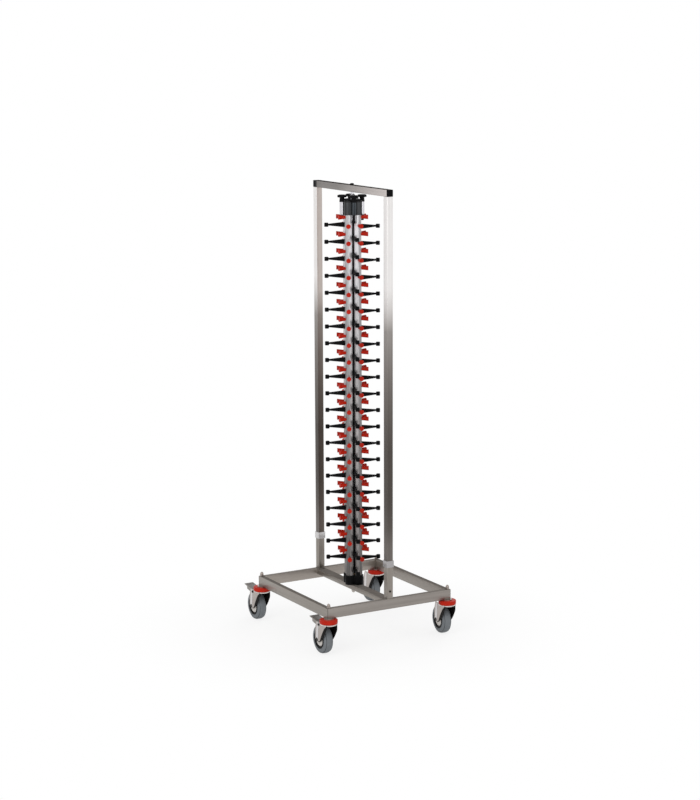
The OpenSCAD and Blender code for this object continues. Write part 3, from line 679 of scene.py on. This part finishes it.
def build_column():
    """The four tubes with their plugs, and the blocks at the head and the foot."""
    low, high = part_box("column_tubes")
    wall, edge = 0.002, 0.0004
    tube = lathe([(TUBE_R - wall, low.z), (TUBE_R - edge, low.z), (TUBE_R, low.z + edge),
                  (TUBE_R, high.z - edge), (TUBE_R - edge, high.z), (TUBE_R - wall, high.z)], 64, closed=True)
    places = [side_matrix("front") @ Matrix.Translation((x * TUBE_OFF, y * TUBE_OFF, 0))
              for x in (-1, 1) for y in (-1, 1)]
    piece("column_tube_set", repeat(tube, places), "column", column_steel, ["column_tubes"])
    plug_r, plug_h = 0.0132, 0.005
    plug = lathe([(plug_r, HEAD_HIGH - 0.004), (plug_r, HEAD_HIGH), (TUBE_R, HEAD_HIGH), (TUBE_R, HEAD_HIGH + 0.0012),
                  (0.0135, HEAD_HIGH + 0.0038), (0.0095, HEAD_HIGH + plug_h), (0, HEAD_HIGH + plug_h)], 48)
    piece("column_tube_plugs", repeat(plug, places), "column", black_plastic, ["tube_plugs"])
    piece("head_block", copy_of("column_head", BLOCK_EDGE), "column", head_plastic,
          ["column_head"])
    piece("foot_block", copy_of("column_foot", BLOCK_EDGE), "column", black_plastic,
          ["column_foot"])


def build_sleeves():
    """Guides of the spindles at the head: bright, and the front one a dark copy whose tone is painted shade."""
    bore, edge, rim_r, rim_low = 0.0071, 0.0005, SLEEVE_R + 0.0006, HEAD_HIGH - RIM_H
    for side in SIDES:
        knob = middle("knob_" + side)
        at = Matrix.Translation((knob.x, knob.y, 0))
        tube = lathe([(bore, HEAD_LOW), (SLEEVE_R - edge, HEAD_LOW), (SLEEVE_R, HEAD_LOW + edge),
                      (SLEEVE_R, rim_low), (bore, rim_low)], 48, at, closed=True)
        piece("spindle_guide_" + side, tube, "column", sleeve_dark if side == "front" else sleeve_steel,
              ["spindle_sleeves"])
        rim = lathe([(bore, rim_low), (rim_r, rim_low), (rim_r, HEAD_HIGH - edge), (SLEEVE_R, HEAD_HIGH),
                     (bore, HEAD_HIGH)], 48, at, closed=True)
        piece("spindle_guide_rim_" + side, rim, "column", black_plastic)


def build_stops(side):
    """Red buttons in pairs, each a cone that points away from the middle of its tube."""
    length = math.hypot(STOP_REACH - TUBE_OFF, STOP_SIDE - TUBE_OFF)
    lean = math.atan2(STOP_SIDE - TUBE_OFF, STOP_REACH - TUBE_OFF)
    rim = 0.0012
    stop = lathe([(STOP_ROOT_R, TUBE_R - 0.003), (STOP_ROOT_R, TUBE_R), (STOP_END_R - 0.0003, length - 2 * rim),
                  (STOP_END_R, length - rim), (STOP_END_R - rim * 0.8, length),
                  (STOP_END_R * 0.55, length - 0.0006), (0, length - 0.0009)], 20)
    low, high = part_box("stops_" + side)
    step = (high.z - low.z - 2 * STOP_END_R) / (TIERS - 1)
    places = []
    for tier in range(TIERS):
        for across in (-1, 1):
            places.append(side_matrix(side)
                          @ Matrix.Translation((TUBE_OFF, across * TUBE_OFF, low.z + STOP_END_R + tier * step))
                          @ Matrix.Rotation(across * lean, 4, "Z") @ Matrix.Rotation(math.pi / 2, 4, "Y"))
    piece("stop_buttons_" + side, repeat(stop, places), "column", red_plastic, ["stops_" + side])


# Arms

def build_arms(side):
    """The rail of one side with its arms, and their rubber tips."""
    body = "arms_" + side
    blades = copy_of("arm_rail_" + side, RAIL_EDGE, 1)
    to_side = side_matrix(side).inverted()
    bmesh.ops.transform(blades, matrix=to_side, verts=blades.verts)
    rail_top = max(v.co.z for v in blades.verts if v.co.x < LUG_START - 0.0005)
    for v in blades.verts:
        if v.co.z > rail_top - LUG_H - 0.0002 and v.co.x > LUG_START:
            v.co.y *= LUG_NARROW
    bmesh.ops.transform(blades, matrix=side_matrix(side), verts=blades.verts)
    piece("arm_blades_" + side, blades, body, arm_paint, ["arm_rail_" + side])
    low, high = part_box("arm_tips_" + side)
    step = (high.z - low.z - TIP_H) / (TIERS - 1)
    half, edge = TIP_H / 2, 0.0012
    tip = lathe([(0, -half), (TIP_R - edge, -half), (TIP_R, -half + edge), (TIP_R, half - edge),
                 (TIP_R - edge, half), (0, half)], 20)
    places = [side_matrix(side) @ Matrix.Translation((ARM_REACH, 0, low.z + half + tier * step))
              for tier in range(TIERS)]
    piece("rubber_tips_" + side, repeat(tip, places), body, tip_rubber, ["arm_tips_" + side])


def build_knob(side):
    """A round knob with a finely waved rim, and the spindle below it."""
    body = "knob_" + side
    centre = middle(body)
    low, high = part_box(body)
    disc_r, stem_r = size(body).x / 2, KNOB_STEM_R
    base = HEAD_HIGH + RUN_GAP
    under = high.z - KNOB_DISC_T
    bm = lathe([(0, base), (SLEEVE_R, base), (SLEEVE_R, base + 0.0022), (stem_r + 0.0004, base + 0.003),
                (stem_r, base + 0.004), (stem_r, under - 0.002), (stem_r + 0.002, under),
                (disc_r - 0.0012, under), (disc_r, under + 0.0012), (disc_r, high.z - 0.0034),
                (disc_r - 0.0016, high.z - 0.0012), (disc_r - 0.006, high.z), (0, high.z - 0.0004)],
               KNOB_GRIPS * 4)
    wave = 0.028
    for v in bm.verts:
        turn = math.atan2(v.co.y, v.co.x)
        r = math.hypot(v.co.x, v.co.y)
        if r > disc_r - 0.002 and v.co.z > under - 0.0005:
            ease = 1 - wave * (0.5 + 0.5 * math.cos(KNOB_GRIPS * turn))
            v.co.x *= ease
            v.co.y *= ease
    bmesh.ops.translate(bm, vec=(centre.x, centre.y, 0), verts=bm.verts)
    spindle_r, edge = 0.004, 0.0008
    spindle = lathe([(0, low.z), (spindle_r - edge, low.z), (spindle_r, low.z + edge), (spindle_r, base),
                     (0, base)], 32, Matrix.Translation((centre.x, centre.y, 0)))
    piece("knob_grip_" + side, bm, body, black_plastic, [body])
    piece("knob_spindle_" + side, spindle, body, zinc)


# Casters

def rounded(corners, tightness=0.35):
    """An open line with each of its inner corners rounded off."""
    points = [corners[0]]
    for before, corner, after in zip(corners, corners[1:], corners[2:]):
        first, last = corner.lerp(before, tightness), corner.lerp(after, tightness)
        points += [first.lerp(corner, t).lerp(corner.lerp(last, t), t) for t in (0, 0.25, 0.5, 0.75, 1)]
    return points + [corners[-1]]


def foot_arc(radius, low, high=-180):
    """Points round the foot of a leg, from front to back."""
    turns = [math.radians(low + (high - low) * i / 8) for i in range(9)]
    return [Vector((-TRAIL + radius * math.cos(turn), AXLE_Z + radius * math.sin(turn))) for turn in turns]


def fork_outline(front, reach, foot_r, foot_start, inner=0.0):
    """A fork leg from the side, its back corner cut off above the pedal's pivot."""
    top = CROWN_TOP - inner
    back = -(TRAIL + LEG_BACK) + inner
    corners = [Vector((-TRAIL + across * (reach + TRAIL), AXLE_Z + up * (top - AXLE_Z))) for across, up in front]
    return rounded(corners) + foot_arc(foot_r, foot_start) + [
        Vector((back, AXLE_Z)), Vector((back, AXLE_Z + 0.66 * (top - AXLE_Z))),
        Vector((back + 0.1 * (reach - back), top))]


def build_fork(corner, at):
    """Pale pressed legs with a raised rib that is paler still as painted light, and black sheets of painted shade
    between each leg and its wheel, under the crown and in an arch in front of the wheel.
    """
    body = "caster_" + corner

    # Front edges from the crown down, as shares of the reach and of the height over the axle
    shade_sheet_fronts = {-1: ((1, 1), (1, 0.80), (0.94, 0.70), (0.86, 0.55), (0.72, 0.36), (0.56, 0.16), (0.37, -0.02),
                         (0.17, -0.12)),
                    1: ((1, 1), (1, 0.68), (0.94, 0.57), (0.86, 0.45), (0.75, 0.28), (0.61, 0.11), (0.48, -0.01),
                        (0.32, -0.09), (0.17, -0.12))}
    leg_front = ((1, 1), (0.93, 0.86), (0.80, 0.79), (0.68, 0.64), (0.57, 0.48), (0.47, 0.34), (0.39, 0.2),
                 (0.33, 0.08), (0.25, -0.05))

    edge, rib_edge, rib_t = 0.0006, 0.0014, 0.0032
    foot, head, lean = 0.0080, 0.0062, 0.006
    disc_r, disc_h = 0.0098, 0.0016
    legs, ribs, shade_sheets = [], [], []
    for across in (-1, 1):
        skin = Matrix.Translation((0, across * (LEG_OUT - LEG_SKIN / 2), 0))
        legs.append(plate(fork_outline(leg_front, LEG_FRONT, LEG_SKIN_FOOT_R, -30), LEG_SKIN, skin, edge))
        # A black sheet of painted shade just inside each leg
        sheet_at = Matrix.Translation((0, across * (LEG_IN + SHADE_SHEET_PLACE), 0))
        outline = fork_outline(shade_sheet_fronts[across], SHADE_SHEET_FRONT, LEG_FOOT_R, -45, 0.0004)
        shade_sheets.append(plate(outline, SHADE_SHEET_T, sheet_at, edge))
        rib = [(-TRAIL - foot, AXLE_Z + 0.004), (-TRAIL + foot, AXLE_Z + 0.004),
               (-TRAIL + foot, AXLE_Z + 0.02), (-TRAIL + lean + head, CROWN_LOW + 0.002),
               (-TRAIL + lean - head, CROWN_LOW + 0.002), (-TRAIL - foot, AXLE_Z + 0.02)]
        ribs.append(plate(rib, rib_t, Matrix.Translation((0, across * LEG_OUT, 0)), rib_edge, 3))
        outward = Matrix.Rotation(-across * math.pi / 2, 4, "X")
        ribs.append(lathe([(0, 0), (disc_r, 0), (disc_r, disc_h / 2), (disc_r - 0.001, disc_h), (0, disc_h)], 36,
                          Matrix.Translation((-TRAIL, across * (LEG_OUT - 0.0002), AXLE_Z)) @ outward))
    piece("fork_legs_" + corner, join(legs, at), body, fork_steel, ["fork_" + corner])
    piece("fork_ribs_" + corner, join(ribs, at), body, rib_steel)
    bore, turned_in, edge = 0.0052, CROWN_R - 0.002, 0.0012
    crown = lathe([(bore, CROWN_LOW), (turned_in, CROWN_LOW), (CROWN_R, CROWN_LOW + 0.002),
                   (CROWN_R, CROWN_LOW + CROWN_T - edge), (CROWN_R - edge, CROWN_LOW + CROWN_T),
                   (bore, CROWN_LOW + CROWN_T)], 64, at, closed=True)
    piece("fork_crown_" + corner, crown, body, crown_steel)
    # A black ring of painted shade under the crown
    shade_low, shade_r = CROWN_LOW - 0.0006, 0.009
    shade_sheets.append(lathe([(shade_r, shade_low), (turned_in, shade_low), (turned_in, CROWN_LOW),
                         (shade_r, CROWN_LOW)], 48, closed=True))
    shade_sheets.append(fork_shade_arch())
    piece("fork_shade_sheets_" + corner, join(shade_sheets, at), body, fork_shade)


def build_pivot_heads(corner):
    """Small dark heads of the pedal's pin, outside the legs."""
    head_r, head_h = 0.0052, 0.0015
    head = lathe([(0, 0), (head_r, 0), (head_r, 0.0009), (head_r - 0.001, head_h), (0, head_h)], 24)
    forward, down, outside = 0.012 - TRAIL, CROWN_LOW - 0.0045, LEG_OUT + 0.0016
    places = [caster_matrix(corner) @ Matrix.Translation((forward, across * outside, down))
              @ Matrix.Rotation(-across * math.pi / 2, 4, "X") for across in (-1, 1)]
    piece("pivot_heads_" + corner, repeat(head, places), "caster_" + corner, dark_bolt)


def fork_shade_arch():
    """A black sheet of painted shade inside the fork's shoulder, an arch between the legs in front of the wheel."""
    inside, foot, corner_r, thickness, forward = LEG_IN - 0.0002, CROWN_LOW - 0.0125, 0.007, 0.002, 0.016
    points = [(-inside, CROWN_LOW), (-inside, foot)]
    for across in (-1, 1):
        turns = [math.radians(a) for a in range(0, 91, 15)]
        arc = [(across * (inside - 0.002 - corner_r * (1 - math.cos(a))), foot + corner_r * math.sin(a))
               for a in turns]
        points += arc if across < 0 else arc[::-1]
    points += [(inside, foot), (inside, CROWN_LOW)]
    turned = Matrix.Translation((forward, 0, 0)) @ Matrix.Rotation(math.pi / 2, 4, "Z")
    return plate(points, thickness, turned, round_edge=0.0004)


def build_caster(corner):
    """A fork with its axle bolt and its wheel."""
    at = caster_matrix(corner)
    build_fork(corner, at)
    along_y = at @ Matrix.Translation((-TRAIL, 0, AXLE_Z)) @ Matrix.Rotation(math.pi / 2, 4, "X")
    shaft_r, step = 0.005, 0.0018
    shaft = lathe([(0, -LEG_OUT), (shaft_r, -LEG_OUT), (shaft_r, LEG_OUT), (0, LEG_OUT)], 32)
    head = lathe([(0, 0), (BOLT_R, 0), (BOLT_R, step), (0.0076, 0.0025), (0.0052, BOLT_H), (0.0042, BOLT_H),
                  (0.0040, step), (0, step)], 32)
    outside = Matrix.Translation((0, 0, LEG_OUT))
    ends = repeat(head, [outside, Matrix.Rotation(math.pi, 4, "X") @ outside])
    piece("axle_bolt_" + corner, join([shaft, ends], along_y), "caster_" + corner, dark_bolt,
          ["axle_" + corner])
    if corner in BRAKED:
        build_pivot_heads(corner)
    build_wheel(corner, along_y)


def tyre_profile():
    """Half of the tyre's section, from the rim over the tread to the middle."""
    tread_half = TYRE_HALF_W - SHOULDER
    side_r = WHEEL_R - SHOULDER
    face, groove = -TYRE_HALF_W, -TYRE_HALF_W + 0.0009
    points = [(RIM_R, face + 0.0015), (RIM_R + 0.0025, face), (side_r - 0.0062, face), (side_r - 0.0055, groove),
              (side_r - 0.0045, groove), (side_r - 0.0038, face)]
    for a in range(0, 91, 10):
        turn = math.radians(a)
        points.append((side_r + SHOULDER * math.sin(turn), -(tread_half + SHOULDER * math.cos(turn))))
    return points


def tyre_lines(matrix):
    """The dark mould lines round both shoulders of a tyre."""
    lines, line_r = [], 0.0007
    for across in (-1, 1):
        r = WHEEL_R - SHOULDER + SHOULDER * math.sin(LINE_AT)
        w = TYRE_HALF_W - SHOULDER + SHOULDER * math.cos(LINE_AT)
        ring = [(r + line_r * math.cos(a), across * w + line_r * math.sin(a))
                for a in (math.radians(60 * i) for i in range(6))]
        lines.append(lathe(ring, 96, matrix, closed=True))
    return join(lines)


def build_wheel(corner, matrix):
    """A grey tyre with its lines, a black rim and a pale disc with a boss."""
    body = "wheel_" + corner
    half = tyre_profile()
    section = half + [(r, -z) for r, z in reversed(half[:-1])]
    piece("tyre_ring_" + corner, lathe(section, 96, matrix, closed=True), body, tyre_rubber,
          ["tyre_" + corner])
    piece("tyre_lines_" + corner, tyre_lines(matrix), body, groove_dark)
    w, rim_in, lip = TYRE_HALF_W, RIM_R - 0.006, RIM_R + 0.0032
    half_rim = [(RIM_R, w + 0.0001), (lip, w + 0.0001), (lip, w + 0.0005), (RIM_R - 0.001, w + 0.0009),
                (rim_in + 0.001, w + 0.0003), (rim_in, w - 0.001), (rim_in - 0.001, 0.008)]
    rim = lathe(half_rim + [(r, -z) for r, z in reversed(half_rim)], 72, matrix, closed=True)
    piece("wheel_rim_" + corner, rim, body, hub_black)
    bore, boss_r, web, boss_half = 0.00505, 0.013, w - 0.003, LEG_IN - 0.001
    half_disc = [(bore, boss_half), (boss_r - 0.001, boss_half), (boss_r, boss_half - 0.001),
                 (boss_r, web), (boss_r + 0.002, web - 0.0012), (rim_in - 0.004, web - 0.0012),
                 (rim_in - 0.002, web), (rim_in - 0.0006, web - 0.0004), (rim_in - 0.0006, web - 0.005)]
    section = half_disc + [(r, -z) for r, z in reversed(half_disc)]
    piece("wheel_disc_" + corner, lathe(section, 64, matrix, closed=True), body, hub_pale,
          ["hub_" + corner])


def build_rings():
    """The bands round the swivels, each with a rounded foot and a lip at its top."""
    race_r, outer, curve = 0.0201, 0.037, 0.003
    low, high = RING_LOW, RING_HIGH
    dent_r = outer - 0.0007
    arc = [(math.cos(math.radians(a)), math.sin(math.radians(a))) for a in range(-90, 1, 15)]
    points = [(race_r, low)] + [(outer - curve + curve * c, low + curve + curve * t) for c, t in arc]
    points += [(outer, high - 0.0062), (dent_r, high - 0.0055), (dent_r, high - 0.0048),
               (outer - 0.0002, high - 0.0042)]
    points += [(outer - curve + curve * c, high - curve - curve * t) for c, t in reversed(arc)]
    points.append((race_r, high))
    places = [corner_matrix(corner) for corner in CORNERS]
    piece("bumper_rings", repeat(lathe(points, 72, closed=True), places), "frame", red_ring,
          ["swivel_rings"])


def build_brake(corner):
    """The pressed pedal, with ridges across its tread."""
    name, body = "pedal_" + corner, "brake_" + corner
    piece("pedal_channel_" + corner, copy_of(name, PEDAL_EDGE), body, pedal_steel, [name])
    low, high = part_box(name)
    y = caster_matrix(corner).translation.y
    first, pitch, slope, ridge_r, half_w = 0.004, 0.006, 0.094, 0.0009, 0.017
    ridges = []
    for step in range(4):
        x = low.x + first + step * pitch
        z = high.z - slope * (x - low.x) - 0.0002
        ridges.append(rod((x, y - half_w, z), (x, y + half_w, z), ridge_r, 10))
    piece("pedal_ridges_" + corner, join(ridges), body, pedal_steel)


def dress_cad_nodes():
    """Finishes of the CAD pieces that stay as they are."""
    for name in ("caster_studs", "swivel_races", "thrust_washer"):
        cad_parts[name].data.materials[0] = zinc
    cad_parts["pivot_rod"].data.materials[0] = sleeve_steel
    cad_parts["pivot_bushes"].data.materials[0] = bronze


build_frame()
build_seams()
build_fasteners()
build_column()
build_sleeves()
build_rings()
for side_name in SIDES:
    build_stops(side_name)
    build_arms(side_name)
    build_knob(side_name)
for corner_name in CORNERS:
    build_caster(corner_name)
for corner_name in BRAKED:
    build_brake(corner_name)
dress_cad_nodes()


# Floor and light

FLOOR_R = 14
FLOOR_WHITE = (0.95, 0.95, 0.95, 1)
WHITE = (1, 1, 1, 1)

# Distances from the middle between which the floor fades, and its white there
FLOOR_FADE = (0.25, 1.1, 0.78, 1)
STUDIO_LIGHT = 0.66


def mixed(tree, factor, first, second):
    """Two shaders mixed by a factor."""
    return add(tree, "ShaderNodeMixShader", {0: factor, 1: first, 2: second}).outputs[0]


def build_floor():
    """A plain white floor that keeps the object's shadow and fades to white around it."""
    bm = bmesh.new()
    bmesh.ops.create_circle(bm, cap_ends=True, segments=96, radius=FLOOR_R)
    mesh = bpy.data.meshes.new("floor")
    bm.to_mesh(mesh)
    bm.free()
    floor = new_object("floor", mesh)
    material = bpy.data.materials.new("white_floor")
    material.use_nodes = True
    tree = material.node_tree
    shader = tree.nodes["Principled BSDF"]
    for label, value in (("Base Color", FLOOR_WHITE), ("Roughness", 0.9), ("Specular IOR Level", 0.1)):
        wire(tree, shader.inputs[label], value)
    fade = mapped(tree, vector_math(tree, "LENGTH", place(tree)), *FLOOR_FADE)
    fade.node.interpolation_type = "SMOOTHSTEP"
    white = add(tree, "ShaderNodeEmission", {"Strength": 1})
    path = add(tree, "ShaderNodeLightPath").outputs
    seen = number_math(tree, "MAXIMUM", path["Is Camera Ray"], path["Is Glossy Ray"])
    amount = number_math(tree, "MULTIPLY", seen, fade)
    surface = mixed(tree, amount, shader.outputs[0], white.outputs[0])
    wire(tree, tree.nodes["Material Output"].inputs["Surface"], surface)
    mesh.materials.append(material)


def build_world():
    """White surroundings, seen at full strength and lighting the object more softly."""
    world = bpy.data.worlds.new("studio")
    bpy.context.scene.world = world
    world.use_nodes = True
    tree = world.node_tree
    light = tree.nodes["Background"]
    wire(tree, light.inputs["Color"], WHITE)
    wire(tree, light.inputs["Strength"], STUDIO_LIGHT)
    white = add(tree, "ShaderNodeBackground", {"Color": WHITE, "Strength": 1})
    path = add(tree, "ShaderNodeLightPath").outputs
    first = number_math(tree, "MAXIMUM", path["Is Camera Ray"], path["Is Glossy Ray"])
    seen = number_math(tree, "MAXIMUM", first, path["Is Transmission Ray"])
    surface = mixed(tree, seen, light.outputs[0], white.outputs[0])
    wire(tree, tree.nodes["World Output"].inputs["Surface"], surface)


def add_area_light(name, stand, target, width, watts):
    """A round soft light at its stand, turned to a target."""
    lamp = bpy.data.lights.new(name, "AREA")
    lamp.shape = "DISK"
    lamp.size = width
    lamp.energy = watts
    holder = new_object(name, lamp)
    holder.location = stand
    holder.rotation_euler = (Vector(target) - Vector(stand)).to_track_quat("-Z", "Y").to_euler()


build_floor()
build_world()
chest = (AXIS.x, AXIS.y, 1.0)
add_area_light("key", (2.5, -5.0, 4.5), chest, width=4.0, watts=110)
add_area_light("fill", (6.0, -1.0, 2.5), chest, width=3.5, watts=45)
add_area_light("back", (-3.0, 4.5, 4.0), chest, width=3.5, watts=60)


# Camera at the photograph's viewpoint, from sizes measured in it
VIEW_AZIMUTH = math.radians(60.05)
VIEW_YAW = math.radians(0.058)
VIEW_PITCH = math.radians(11.366)
VIEW_ROLL = math.radians(-0.2335)
VIEW_DISTANCE = 8.7013
VIEW_HEIGHT = 2.5682
FOCAL_PIXELS = 2122.6
PICTURE_W = 700
CENTRE_SHIFT_PIXELS = (0.81, 39.35)


def build_camera():
    """The camera, turned and shifted as in the photograph."""
    data = bpy.data.cameras.new("camera")
    data.sensor_fit = "HORIZONTAL"
    data.sensor_width = 36
    data.lens = FOCAL_PIXELS / PICTURE_W * data.sensor_width
    data.shift_x = -CENTRE_SHIFT_PIXELS[0] / PICTURE_W
    data.shift_y = CENTRE_SHIFT_PIXELS[1] / PICTURE_W
    data.clip_end = 100
    camera = new_object("camera", data)
    turn = VIEW_AZIMUTH + VIEW_YAW
    ahead = Vector((-math.sin(turn), math.cos(turn), 0)) * math.cos(VIEW_PITCH)
    ahead.z = -math.sin(VIEW_PITCH)
    right = Vector((math.cos(turn), math.sin(turn), 0))
    up = right.cross(ahead)
    look = Matrix((right, up, -ahead)).transposed().to_4x4()
    stand = Matrix.Translation((AXIS.x + VIEW_DISTANCE * math.sin(VIEW_AZIMUTH),
                                AXIS.y - VIEW_DISTANCE * math.cos(VIEW_AZIMUTH), VIEW_HEIGHT))
    camera.matrix_world = stand @ look @ Matrix.Rotation(VIEW_ROLL, 4, "Z")
    bpy.context.scene.camera = camera


build_camera()
bpy.context.scene.view_settings.view_transform = "Standard"
